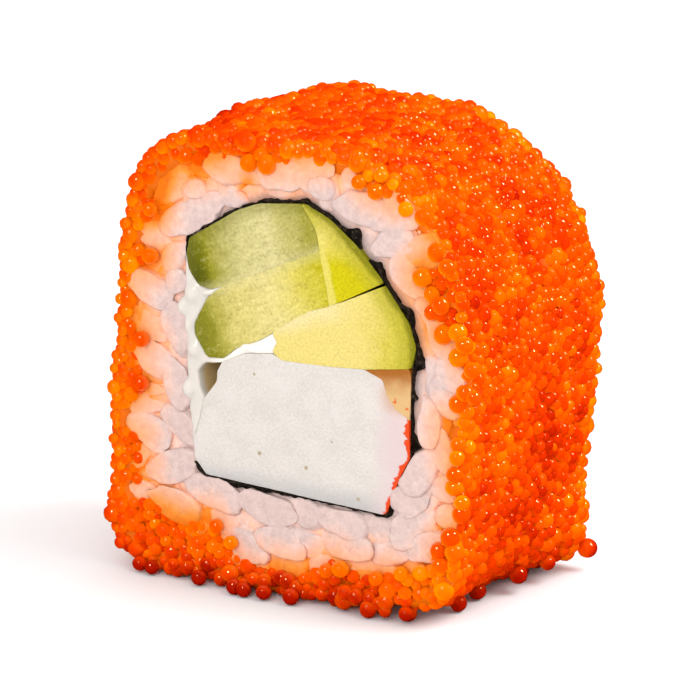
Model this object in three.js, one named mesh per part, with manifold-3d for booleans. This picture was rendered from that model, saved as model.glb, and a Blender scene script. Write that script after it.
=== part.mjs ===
// California roll: one inside-out sushi piece with its cut faces upright.
// Millimetres, +Z up. The roll's axis lies along Y and one cut face looks to -Y.
// The origin is on the table, under the middle of the piece.
import * as THREE from 'three';
import { mergeVertices } from 'three/addons/utils/BufferGeometryUtils.js';
import { ParametricGeometry } from 'three/addons/geometries/ParametricGeometry.js';
import Module from 'manifold-3d';

// Driving dimensions
const ROLL_DEPTH = 24.5;
const COAT = 2.2;
const COAT_RIM = 1.1;
const NORI_THICK = 0.5;
const GAP = 0.3;

// Fish eggs: the distance between neighbours and how far they stand out and in
const EGG_PITCH = 1.95;
const EGG_RISE = 0.3;
const EGG_VALLEY = -0.35;
const EGG_SHIFT = 0.2;
const EGG_UNEVEN = 0.15;
const EGG_SEED = 11;

// Cooked rice grains, and how they are spread over the two cut faces
const GRAIN_LENGTH = 7.2;
const GRAIN_WIDTH = 3.3;
const GRAIN_THICK = 2.8;
const GRAIN_PITCH = 6.2;
const GRAIN_SINK = 0.55;
const GRAIN_TILT = 0.25;
const GRAIN_STAGGER = 0.25;
const GRAIN_SIDES = 6;
const GRAIN_RINGS = 4;
const GRAIN_SEED = 5;

// The cut face was drawn from a point off its middle: this puts the origin back under it
const MIDDLE_X = 0.6;

// Outlines on the cut face, anticlockwise from the lower left: x, z and corner radius
const ROLL = [
  [-20.9, 0, 5], [20.4, 0, 7.5], [22.3, 24, 60], [20.8, 46.7, 17], [-17.9, 46.7, 11], [-21.1, 17, 40],
];
const NORI = [
  [-10.4, 10.5, 2.4], [13, 10.3, 1.2], [15.9, 18.4, 4], [16.3, 28.4, 4], [13.2, 34.6, 8],
  [3.3, 41.9, 4.5], [-4.4, 39.8, 10], [-12, 35.9, 1.4],
];

// Corners that neighbouring fillings share
const SLICE_END = [4.7, 36];
const SLICE_MIDDLE = [-6.2, 31.3];
const SLICE_START = [-9.4, 30.6];
const WEDGE_TOP = [2.6, 40.7];
const WEDGE_TIP = [5.9, 30.8];
const WEDGE_SIDE = [12.2, 33.9];
const TIP_ABOVE = [-0.9, 27];
const TIP_BELOW = [0.6, 24.3];
const CRAB_PEAK = [9.8, 25.1];
const CRAB_CORNER = [-6.5, 22.9];
const CUCUMBER_TOE = [-6.6, 23.8];
const CUCUMBER_HEEL = [-8.9, 24];
const CUCUMBER_SIDE = [-10, 26.4];

// Colour and roughness of each food
const ROE = { color: 0xf55a08, roughness: 0.25 };
const RICE = { color: 0xf2c4b2, roughness: 0.45 };
const SEAWEED = { color: 0x1c1a12, roughness: 0.6 };
const CUCUMBER = { color: 0xdcd48c, roughness: 0.35 };
const AVOCADO = { color: 0xe8d870, roughness: 0.45 };
const CRAB = { color: 0xf1e9e2, roughness: 0.55 };
const CREAM = { color: 0xfbf2e2, roughness: 0.25 };

// Fillings: name, depth along the roll, looks and outline
const FILLINGS = [
  ['cucumber_upper', 24.4, CUCUMBER, [
    [...SLICE_START, 0.8], [...SLICE_MIDDLE, 6], [...SLICE_END, 0.5], [...WEDGE_TOP, 0.6],
    [-4.4, 39.1, 8], [-11.3, 35.2, 1],
  ]],
  ['cucumber_lower', 24.6, CUCUMBER, [
    [...CUCUMBER_HEEL, 1], [...CUCUMBER_TOE, 1], [...WEDGE_TIP, 0.5], [...SLICE_END, 0.5],
    [...SLICE_MIDDLE, 6], [...SLICE_START, 0.6], [...CUCUMBER_SIDE, 1.5],
  ]],
  ['avocado_upper', 24.2, AVOCADO, [
    [...WEDGE_TIP, 0.4], [...WEDGE_SIDE, 0.5], [8.3, 38, 6], [...WEDGE_TOP, 0.5], [...SLICE_END, 8],
  ]],
  ['avocado_lower', 24.4, AVOCADO, [
    [...TIP_BELOW, 0.7], [...CRAB_PEAK, 8], [15.5, 26, 0.8], [15.8, 29.2, 2.5], [...WEDGE_SIDE, 0.5],
    [...WEDGE_TIP, 20], [...TIP_ABOVE, 0.6],
  ]],
  ['crab_stick', 24.6, CRAB, [
    [-9.9, 11.2, 1.6], [12.6, 10.8, 0.9], [15.3, 18.4, 1.5], [14.6, 21.2, 1], [12.6, 22.8, 1.5],
    [...CRAB_PEAK, 0.6], [...TIP_BELOW, 8], [...CRAB_CORNER, 1], [-9.3, 17.6, 4],
  ]],
  ['cream', 24, CREAM, [
    [-10.6, 18.4, 0.4], [-9.6, 18.4, 0.4], [-10.1, 21.4, 1], [-9.2, 23, 0.8], [...CRAB_CORNER, 2],
    [...TIP_BELOW, 0.5], [...TIP_ABOVE, 0.5], [...CUCUMBER_TOE, 1], [...CUCUMBER_HEEL, 1],
    [...CUCUMBER_SIDE, 1.5], [...SLICE_START, 0.6], [-11.2, 34.8, 0.4],
  ]],
];
const NORI_DEPTH = 24.2;
const ARC_STEPS = 2;

const wasm = await Module();
wasm.setup();

const seededRandom = THREE.MathUtils.seededRandom;
const spread = (amount) => amount * (2 * seededRandom() - 1);

// Unit directions of the edges that meet at one corner of an outline
function edgesAt(corners, index) {
  const count = corners.length;
  const [before, here, after] = [-1, 0, 1].map((step) => {
    const [x, z] = corners[(index + step + count) % count];
    return new THREE.Vector2(x, z);
  });
  const incoming = here.clone().sub(before).normalize();
  const outgoing = after.clone().sub(here).normalize();
  return { here, incoming, outgoing, turn: incoming.cross(outgoing) };
}

const leftOf = (direction) => new THREE.Vector2(-direction.y, direction.x);

// Outline moved inwards by a distance, or outwards by a negative one
function inset(corners, distance) {
  return corners.map(([, , radius], index) => {
    const { here, incoming, outgoing, turn } = edgesAt(corners, index);
    const normals = leftOf(incoming).add(leftOf(outgoing));
    const moved = here.addScaledVector(normals, distance / (1 + incoming.dot(outgoing)));
    return [moved.x, moved.y, Math.max(radius - Math.sign(turn) * distance, GAP)];
  });
}

// Closed shape of straight edges with an arc at every corner
function outline(corners) {
  const shape = new THREE.Shape();
  corners.forEach(([, , radius], index) => {
    const { here, incoming, outgoing, turn } = edgesAt(corners, index);
    const side = Math.sign(turn);
    const reach = radius * Math.tan(Math.acos(incoming.dot(outgoing)) / 2);
    const start = here.clone().addScaledVector(incoming, -reach);
    const centre = start.clone().addScaledVector(leftOf(incoming), side * radius);
    const from = leftOf(incoming).multiplyScalar(-side).angle();
    const to = leftOf(outgoing).multiplyScalar(-side).angle();
    if (index === 0) shape.moveTo(start.x, start.y);
    else shape.lineTo(start.x, start.y);
    shape.absarc(centre.x, centre.y, radius, from, to, side < 0);
  });
  shape.closePath();
  return shape;
}

// Solid that runs through the roll, its cut faces square to the Y axis
function throughRoll(shape, depth) {
  const settings = { depth, curveSegments: ARC_STEPS, bevelEnabled: false };
  const geometry = new THREE.ExtrudeGeometry(shape, settings);
  geometry.rotateX(Math.PI / 2);
  geometry.translate(0, depth / 2, 0);
  return merged(geometry);
}

function merged(geometry) {
  geometry.deleteAttribute('normal');
  geometry.deleteAttribute('uv');
  return mergeVertices(geometry);
}

function toSolid(geometry) {
  const vertProperties = new Float32Array(geometry.attributes.position.array);
  const triVerts = new Uint32Array(geometry.index.array);
  return new wasm.Manifold(new wasm.Mesh({ numProp: 3, vertProperties, triVerts }));
}

// The outermost body alone: loose scraps go, and a hollow sealed inside is filled
function largestShell(solid) {
  const shells = solid.decompose();
  return shells.reduce((best, shell) => (shell.volume() > best.volume() ? shell : best));
}

function toGeometry(solid) {
  const { vertProperties, triVerts } = solid.getMesh();
  const geometry = new THREE.BufferGeometry();
  geometry.setAttribute('position', new THREE.BufferAttribute(vertProperties, 3));
  geometry.setIndex(new THREE.BufferAttribute(triVerts, 1));
  return geometry;
}

function named(name, geometry, looks) {
  geometry.computeVertexNormals();
  const material = new THREE.MeshStandardMaterial({ ...looks, metalness: 0, flatShading: true });
  const mesh = new THREE.Mesh(geometry, material);
  mesh.name = name;
  return mesh;
}

// Roe coat: a sleeve around the rice whose outside is a lattice of eggs. Rows of points run round
// the roll, each row half a step on from the last, and every third point is the top of an egg.
function roeCoat() {
  const around = outline(ROLL);
  const half = ROLL_DEPTH / 2;
  const section = new THREE.Path();
  section.moveTo(-half, 0);
  section.lineTo(-half, COAT - COAT_RIM);
  section.absarc(COAT_RIM - half, COAT - COAT_RIM, COAT_RIM, Math.PI, Math.PI / 2, true);
  section.lineTo(half - COAT_RIM, COAT);
  section.absarc(half - COAT_RIM, COAT - COAT_RIM, COAT_RIM, Math.PI / 2, 0, true);
  section.lineTo(half, 0);

  const step = EGG_PITCH / Math.sqrt(3);
  const girth = around.getLength();
  const columns = 3 * Math.round(girth / step / 3);
  const rows = 2 * Math.round(section.getLength() / (step * Math.sin(Math.PI / 3)) / 2);
  const lastRow = rows - 1;

  seededRandom(EGG_SEED);
  const offsets = Array.from({ length: rows * columns }, () => (
    { along: spread(EGG_SHIFT), across: spread(EGG_SHIFT), out: spread(EGG_UNEVEN) }
  ));

  function coatPoint(u, v, target) {
    const turns = Math.round(v * rows);
    const row = turns % rows;
    const column = (Math.round(u * columns) + (turns === rows ? rows / 2 : 0)) % columns;
    const onEdge = row === 0 || row === lastRow;
    const offset = onEdge ? { along: 0, across: 0, out: 0 } : offsets[row * columns + column];
    const isTop = (column - row + rows * 3) % 3 === 0;
    const rise = onEdge ? 0 : (isTop ? EGG_RISE : EGG_VALLEY) + offset.out;

    const travel = 1 - ((column + row / 2) % columns) / columns + offset.along / girth;
    const place = THREE.MathUtils.clamp((row + offset.across) / lastRow, 0, 1);
    const spot = section.getPoint(place);
    const lean = leftOf(section.getTangent(place));
    const depth = spot.x + rise * lean.x;
    const height = spot.y + rise * lean.y - COAT;

    const wrapped = (travel + 1) % 1;
    const base = around.getPoint(wrapped);
    const outward = leftOf(around.getTangent(wrapped)).multiplyScalar(-height);
    base.add(outward);
    target.set(base.x, depth, Math.max(base.y, 0));
  }
  return merged(new ParametricGeometry(coatPoint, columns, rows));
}

// Rice: a ring of pressed rice with whole grains standing out of both cut faces
function rice() {
  const outer = inset(ROLL, COAT + GAP);
  const inner = inset(NORI, -NORI_THICK - GAP);
  const ring = () => {
    const shape = outline(outer);
    shape.holes.push(outline(inner));
    return shape;
  };
  const space = toSolid(throughRoll(ring(), ROLL_DEPTH));
  let body = toSolid(throughRoll(ring(), ROLL_DEPTH - GRAIN_THICK));

  const outerPath = outline(outer);
  const innerPath = outline(inner);
  const stations = Math.round(outerPath.getLength() / GRAIN_PITCH);
  const faceY = ROLL_DEPTH / 2 - GRAIN_SINK * GRAIN_THICK;
  seededRandom(GRAIN_SEED);
  for (const side of [-1, 1]) {
    for (let station = 0; station < stations; station += 1) {
      const far = outerPath.getPoint(station / stations);
      const near = innerPath.getPoint(station / stations);
      const lanes = Math.max(1, Math.round(far.distanceTo(near) / GRAIN_WIDTH));
      for (let lane = 0; lane < lanes; lane += 1) {
        const spot = near.clone().lerp(far, (lane + 0.5) / lanes);
        const grain = new THREE.SphereGeometry(0.5, GRAIN_SIDES, GRAIN_RINGS);
        grain.scale(GRAIN_WIDTH, GRAIN_LENGTH, GRAIN_THICK);
        grain.rotateX(Math.PI / 2 + spread(GRAIN_TILT));
        grain.rotateY(Math.PI * seededRandom());
        grain.translate(spot.x, side * (faceY + spread(GRAIN_STAGGER)), spot.y);
        body = body.add(toSolid(merged(grain)));
      }
    }
  }
  return toGeometry(largestShell(body.intersect(space)));
}

// Seaweed sheet rolled round the fillings
function noriSleeve() {
  const shape = outline(inset(NORI, -NORI_THICK));
  shape.holes.push(outline(NORI));
  return throughRoll(shape, NORI_DEPTH);
}

const roll = new THREE.Group();
roll.position.x = -MIDDLE_X;
roll.add(named('roe_coat', roeCoat(), ROE));
roll.add(named('rice', rice(), RICE));
roll.add(named('nori', noriSleeve(), SEAWEED));
for (const [name, depth, looks, corners] of FILLINGS) {
  const shape = outline(inset(corners, GAP / 2));
  roll.add(named(name, throughRoll(shape, depth), looks));
}

export default roll;
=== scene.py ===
"""Looks of the california roll: fish eggs, rice grains, seaweed and fillings in place of the solids."""

import math

import bmesh
import bpy
import numpy as np
from mathutils import Matrix, Vector, noise


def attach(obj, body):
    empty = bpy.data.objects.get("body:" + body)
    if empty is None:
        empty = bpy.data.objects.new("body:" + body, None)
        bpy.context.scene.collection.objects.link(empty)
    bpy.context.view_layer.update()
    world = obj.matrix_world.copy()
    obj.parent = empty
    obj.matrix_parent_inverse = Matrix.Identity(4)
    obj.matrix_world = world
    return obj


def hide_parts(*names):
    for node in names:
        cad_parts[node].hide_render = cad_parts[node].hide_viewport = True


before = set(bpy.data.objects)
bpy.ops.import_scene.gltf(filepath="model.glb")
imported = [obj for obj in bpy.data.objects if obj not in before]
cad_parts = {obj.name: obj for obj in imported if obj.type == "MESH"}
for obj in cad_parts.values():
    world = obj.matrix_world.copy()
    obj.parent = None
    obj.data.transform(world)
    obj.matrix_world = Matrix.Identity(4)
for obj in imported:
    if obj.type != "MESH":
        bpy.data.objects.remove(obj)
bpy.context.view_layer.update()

# Sizes in millimetres as drawn. The roll's middle is drawn at MIDDLE_X, and FACE is half its depth.
MM = 0.001
TINY = 1e-9
MIDDLE_X = 0.6
ROLL_DEPTH = 24.5
FACE = ROLL_DEPTH / 2
# How brightly the lamps light a cut face
FACE_LIGHT = 1.65

# Outlines on the cut face, x to the right and z up: x, z and the corner's radius where it is rounded
ROLL = [
    (-20.9, 0, 5), (20.4, 0, 7.5), (22.3, 24, 60), (20.8, 46.7, 17), (-17.9, 46.7, 11), (-21.1, 17, 40),
]
NORI = [
    (-9.4, 11.4, 1.2), (12.5, 10.7, 0.9), (13.1, 13, 1), (15.05, 16.8, 1), (15.05, 25, 1.5),
    (15.7, 27.8, 2), (14.9, 30.4, 3), (12.1, 33.9, 6), (6, 39.4, 4), (2.9, 40.7, 1), (-2.5, 40, 5),
    (-5, 39, 5), (-11.1, 35.4, 0.5), (-10.6, 20, 8), (-10.5, 13, 1.2),
]
CUCUMBER_UPPER = [
    (-10.7, 32.2, 1), (-9.6, 30.8, 1), (-8.2, 30.6, 1), (-6.5, 31.2, 2), (-3, 32.7, 8), (4.6, 36.1),
    (4.2, 38, 3), (2.5, 40.5), (-2.5, 39.9, 5), (-5, 38.9, 5), (-10.7, 35.4, 0.4), (-11, 33.8, 1),
]
CUCUMBER_LOWER = [
    (-10.1, 25.7, 0.8), (-8.7, 23.6, 0.5), (-6.7, 23.8, 0.5), (-5.3, 25, 1), (-2.5, 26.2, 4),
    (-0.9, 27.2), (1.9, 29, 6), (3.4, 30, 3), (5.7, 30.8), (5.1, 34), (4.6, 36.1), (-3, 32.7, 8),
    (-6.5, 31.2, 2), (-8.4, 29.8, 1), (-10.1, 26.8, 1),
]
AVOCADO_UPPER = [
    (5.7, 30.8), (7.2, 31.5), (12, 34, 0.2), (9, 37.1, 8), (6, 39.3, 6), (3.2, 40.5, 0.4), (2.5, 40.5),
    (4.2, 38, 3), (4.6, 36.1), (5.1, 34),
]
AVOCADO_LOWER = [
    (0.2, 24.5, 0.4), (6, 24.7, 9), (9.8, 25.1), (15.1, 25.9, 0.4), (15.65, 28, 2), (14.9, 30.3, 2),
    (12.2, 33.7, 0.2), (7.2, 31.35), (5.7, 30.8), (3.4, 30, 3), (1.9, 29, 6), (-0.9, 27.2, 0.3),
    (-0.3, 26.3, 0.3), (-0.9, 25.2, 0.3),
]
CRAB = [
    (-8.8, 11.5, 0.6), (12.3, 10.8, 0.6), (12.9, 12.5, 0.5), (13.8, 14.7, 1), (15, 16.9, 0.8),
    (15, 20.8, 0.4), (13.4, 21.6, 0.6), (12.4, 22.8, 0.6), (11.9, 24.3, 0.5), (9.8, 25.05, 0.3),
    (6, 24.7, 9), (0.2, 24.5, 0.5), (-0.9, 25, 0.3), (-4, 24.6, 3), (-6.8, 23.3, 0.4),
    (-7.4, 22.3, 0.6), (-7.4, 21.3, 0.6), (-9, 19.3, 0.5), (-9.35, 17.8, 1), (-10.2, 14.8, 1),
    (-10.2, 13, 1),
]
# Loosened skin of the crab stick, a little behind its cut face
CRAB_SKIN = [(9.9, 25), (11.8, 24.2), (12.4, 22.6), (13.4, 21.5), (15, 20.7), (15.1, 25), (14.9, 25.8)]
CREAM = [
    (-10.5, 14), (-10.2, 14.8), (-9.35, 17.8), (-9, 19.3), (-9.6, 20.2), (-9.9, 22), (-9.1, 22.9),
    (-6.8, 23.2), (-4, 24.6), (-0.9, 25), (-0.3, 26.3), (-0.9, 27.2), (-2.5, 26.2), (-5.3, 25),
    (-6.7, 23.8), (-8.7, 23.6), (-10.1, 25.7), (-10.1, 26.8), (-8.4, 29.8), (-6.5, 31.2), (-8.2, 30.6),
    (-9.6, 30.8), (-10.7, 32.2), (-11, 33.8), (-11.2, 34.4), (-11.3, 30), (-11.2, 24), (-10.9, 18),
]
# Uneven edge of the roe on the front face, without rounding
ROE_EDGE = [
    (-18.5, 7.2), (-15.5, 7.7), (-13.8, 6.7), (-12.1, 6), (-10, 6.2), (-7.7, 6.1), (-6.8, 4.1),
    (-4.9, 3.5), (-2.2, 2.7), (2.3, 2.7), (4.2, 4.2), (6.3, 5.1), (8.4, 4.1), (11.4, 4.4), (13.5, 5.5),
    (15.4, 5), (17.2, 6.5), (17.4, 8.2), (20.6, 11.3), (20.9, 13.3), (19.8, 17.4), (19.7, 20.8),
    (22.2, 22.8), (22.6, 24.5), (21.8, 26.6), (19.5, 29.3), (17.7, 29.7), (18.4, 31.1), (17.3, 31.5),
    (17, 33.5), (15.5, 34.2), (15.5, 35.8), (17, 36.4), (19, 36.1), (19, 38.2), (16.1, 42.2),
    (14.7, 43.5), (12.7, 42.5), (9.8, 43.1), (9.3, 45), (3.1, 45.2), (0.2, 44), (-2.9, 43.6),
    (-3.7, 44.4), (-7.1, 43.5), (-10.4, 42.7), (-12.6, 43), (-15.1, 40.5), (-15.7, 38.2), (-14.8, 37.5),
    (-16.7, 35.6), (-16.9, 34.1), (-15.2, 33.4), (-15.1, 32.4), (-17.8, 30.8), (-18.3, 27.9),
    (-17.6, 25.7), (-16.5, 24.2), (-17.7, 21.5), (-16.5, 20.7), (-16.6, 19.2), (-18.9, 16.6),
    (-18.9, 14.7), (-16.8, 14.5), (-17.2, 13.3), (-16.6, 11.3), (-17.4, 9), (-19, 8.6),
]
# Rice grains of the front face: x, z, turn in degrees, length, width and how deep one lies
FRONT_GRAINS = [
    (-10.2, 37.9, 25, 8.4, 3.2, 0), (-15, 34.8, 155, 4, 2.6, 1), (-10, 40.3, 5, 2.4, 1.9, 0),
    (-13.2, 40, 35, 4.8, 2.8, 1), (-6.1, 43, 0, 5, 2.8, 0), (-2.7, 43.2, 5, 5, 2.6, 0),
    (-6.5, 40.4, 165, 5, 2.8, 1), (-12.7, 33.4, 45, 4.2, 2.6, 1), (-12.4, 30.7, 10, 2.6, 2.4, 0),
    (-15.6, 29.6, 165, 5.4, 3.2, 0), (-12.5, 25.7, 105, 5.6, 2.8, 0), (-15.7, 25.6, 170, 4.8, 3, 1),
    (-15.3, 22.4, 150, 5, 3.2, 0), (-12.4, 20.1, 110, 5, 2.8, 0), (-16.1, 17.9, 15, 5.4, 3, 1),
    (-16.1, 14.9, 160, 5.6, 3.2, 0), (-12.1, 16, 140, 4.8, 2.8, 0), (-13.3, 11.5, 20, 6.4, 3, 0),
    (-17.6, 11.9, 25, 4, 2.4, 1), (-17.3, 8.2, 170, 4, 2.6, 1), (-12.4, 7.5, 165, 6.8, 3, 0),
    (-8.4, 9.6, 170, 6.4, 3, 0), (-10.7, 5.7, 160, 4.4, 2.6, 1), (-6.4, 6.9, 175, 6, 3, 1),
    (-1.7, 9.2, 170, 6.2, 3, 0), (-4.6, 4.7, 165, 5.6, 2.8, 0), (-0.2, 5.8, 170, 5.6, 3, 0),
    (-4.1, 2.8, 175, 4.4, 2.4, 1), (2.7, 9.3, 160, 4.4, 3, 1), (6.8, 9.2, 175, 6, 2.8, 0),
    (3.3, 6, 170, 5.4, 2.8, 1), (7.6, 6.8, 0, 6.4, 2.9, 0), (11.6, 9, 165, 4.4, 2.8, 1),
    (12.7, 7, 15, 4.6, 2.5, 0), (5.3, 4.3, 0, 6, 2.6, 1), (10.5, 4.9, 5, 6, 2.4, 1),
    (15.3, 10, 40, 5.4, 3.2, 0), (16.9, 8.2, 25, 4.8, 2.7, 0), (15, 12.8, 25, 4.4, 3, 0),
    (16.3, 15.9, 50, 5.6, 2.9, 0), (19.5, 11.4, 155, 3.2, 2.4, 0), (18.7, 14.5, 150, 4.2, 3, 1),
    (18.7, 18.1, 120, 4.6, 2.8, 0), (17, 20.9, 100, 4.6, 2.4, 0), (19, 23.5, 120, 4, 3.2, 0),
    (21, 22.3, 155, 3.2, 2.6, 1), (18, 25.2, 110, 4.4, 2.6, 1), (19.8, 26, 140, 4.2, 3, 0),
    (18.7, 29.2, 125, 4.2, 2.8, 0), (17, 31.3, 120, 4, 2.2, 0), (20, 32, 125, 4, 2.4, 1),
    (15, 35.1, 140, 4.8, 3, 0), (13, 38, 15, 5.2, 2.8, 0), (16.7, 37.8, 20, 4.8, 3, 0),
    (17.8, 35, 145, 4, 2.6, 1), (13, 40.8, 15, 5.8, 3.4, 0), (8.8, 41.1, 0, 5.6, 3.2, 0),
    (9.3, 43.3, 175, 5, 2.8, 1), (4.8, 42.3, 165, 3, 2.2, 0), (3.2, 43.1, 165, 4.4, 2.8, 1),
    (0.3, 43, 10, 5.4, 3, 0), (3.2, 44.4, 175, 5.6, 2.6, 1), (13.7, 42.5, 175, 4.2, 2.6, 1),
]
# Folds where the seaweed stands off the fillings: x, z, height and half width
NORI_FOLDS = [
    (8, 37.6, 1.5, 0.9), (11, 34.9, 0.8, 1), (14.5, 31.1, 0.7, 0.9), (15.6, 26.6, 1.2, 0.8),
    (15.05, 22.9, 0.5, 0.35), (15.05, 18.4, 1.4, 0.6), (13.4, 13.4, 0.6, 0.7), (12.4, 10.8, 0.3, 0.5),
    (-5.5, 11.2, 0.3, 0.6), (2.8, 40.7, 0.2, 0.5), (-3, 39.8, 0.12, 4), (-3, 11.2, 0.28, 6),
]
# Blobs of cream that swell out of the cut faces: x, z, half width and half height
CREAM_BLOBS = [
    (-10.4, 29.8, 1.2, 1.3), (-11.5, 28.3, 0.9, 1.1), (-10.8, 26.6, 0.6, 1.4), (-10.2, 24.1, 1.1, 1.2),
    (-10.9, 20, 1.0, 1.3), (-8.6, 30.2, 1, 0.4), (-3, 25.3, 2.2, 0.6),
]


class Outline:
    """A closed outline on the cut face, as evenly spaced points with their outward normals."""

    FIELD_LOW = np.array([-27.0, -5.0])
    FIELD_CELL = 0.25
    FIELD_SHAPE = (216, 232)

    def __init__(self, corners, step=0.35):
        rough = np.array([p for i in range(len(corners)) for p in self.corner(corners, i)], float)
        gaps = np.linalg.norm(np.roll(rough, -1, 0) - rough, axis=1)
        along = np.concatenate([[0], np.cumsum(gaps)])
        self.length = along[-1]
        count = max(12, int(round(self.length / step)))
        travel = np.arange(count) * self.length / count
        closed = np.vstack([rough, rough[:1]])
        self.points = np.stack([np.interp(travel, along, closed[:, k]) for k in (0, 1)], 1)
        ahead = np.roll(self.points, -1, 0) - np.roll(self.points, 1, 0)
        ahead /= np.linalg.norm(ahead, axis=1)[:, None]
        self.normals = np.stack([ahead[:, 1], -ahead[:, 0]], 1)
        self.field = self.measure()

    @staticmethod
    def corner(corners, index, steps=8):
        """Points of the arc that rounds one corner, or the corner itself where it has no radius."""
        here = np.array(corners[index][:2], float)
        if len(corners[index]) == 2:
            return [here]
        radius = corners[index][2]
        before = here - np.array(corners[index - 1][:2])
        after = np.array(corners[(index + 1) % len(corners)][:2]) - here
        before, after = before / np.linalg.norm(before), after / np.linalg.norm(after)
        turn = math.atan2(before[0] * after[1] - before[1] * after[0], before @ after)
        side = np.array([-before[1], before[0]]) * np.sign(turn)
        start = here - before * radius * math.tan(abs(turn) / 2)
        angles = np.linspace(0, abs(turn), steps + 1)[:, None]
        return start + side * radius * (1 - np.cos(angles)) + before * radius * np.sin(angles)

    def measure(self):
        """Distance from the outline on a grid over the cut face, positive inside."""
        columns, rows = (np.arange(n) * self.FIELD_CELL for n in self.FIELD_SHAPE)
        x, z = (v.ravel() for v in np.meshgrid(columns, rows, indexing="ij"))
        x, z = x + self.FIELD_LOW[0], z + self.FIELD_LOW[1]
        best = np.full(len(x), np.inf)
        odd = np.zeros(len(x), bool)
        for a, b in zip(self.points, np.roll(self.points, -1, 0)):
            edge = b - a
            part = np.clip(((x - a[0]) * edge[0] + (z - a[1]) * edge[1]) / (edge @ edge), 0, 1)
            best = np.minimum(best, (x - a[0] - part * edge[0]) ** 2 + (z - a[1] - part * edge[1]) ** 2)
            if a[1] != b[1]:
                crosses = (a[1] > z) != (b[1] > z)
                odd ^= crosses & (x < a[0] + (z - a[1]) * edge[0] / edge[1])
        return np.where(odd, 1, -1).reshape(self.FIELD_SHAPE) * np.sqrt(best).reshape(self.FIELD_SHAPE)

    def inside(self, spots):
        """Distance from the outline of each spot, positive inside."""
        place = (np.asarray(spots, float).reshape(-1, 2) - self.FIELD_LOW) / self.FIELD_CELL
        place = np.clip(place, 0, np.array(self.FIELD_SHAPE) - 1.001)
        low = place.astype(int)
        (u, v), (i, j) = (place - low).T, low.T
        lower = self.field[i, j] * (1 - u) + self.field[i + 1, j] * u
        upper = self.field[i, j + 1] * (1 - u) + self.field[i + 1, j + 1] * u
        return lower * (1 - v) + upper * v

    def at(self, travel):
        """Points and outward normals at distances round the outline."""
        place = np.asarray(travel) / self.length * len(self.points)
        low = np.floor(place).astype(int)
        part = (place - low)[..., None]
        low, high = low % len(self.points), (low + 1) % len(self.points)
        normal = self.normals[low] * (1 - part) + self.normals[high] * part
        return self.points[low] * (1 - part) + self.points[high] * part, normal

    def inward(self, spots, nudge=0.2):
        """Direction away from the nearest edge at each spot."""
        steps = ((nudge, 0), (0, nudge))
        slope = np.stack([self.inside(spots + step) - self.inside(spots - step) for step in steps], 1)
        return slope / (np.linalg.norm(slope, axis=1)[:, None] + TINY)

    def shrunk(self, distance):
        return self.points - self.normals * np.asarray(distance).reshape(-1, 1)


class Value:
    """A shader socket that joins in Python arithmetic: each operator adds a Math node."""

    def __init__(self, paint, socket):
        self.paint, self.socket = paint, socket

    def math(self, operation, *values):
        return self.paint.node("ShaderNodeMath", {"operation": operation}, dict(enumerate((self, *values))))

    def __add__(self, other):
        return self.math("ADD", other)

    def __sub__(self, other):
        return self.math("SUBTRACT", other)

    def __mul__(self, other):
        return self.math("MULTIPLY", other)

    __radd__ = __add__

    def __rsub__(self, other):
        return self * -1 + other

    def step(self, low, high):
        """0 at low, 1 at high and smooth between. With low above high it falls."""
        inputs = {"Value": self, "From Min": low, "From Max": high}
        return self.paint.node("ShaderNodeMapRange", {"interpolation_type": "SMOOTHSTEP"}, inputs)

    def ragged(self, texture, amount=1):
        """The value moved up and down by a texture about 0.5."""
        return self + texture * amount - amount / 2


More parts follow.
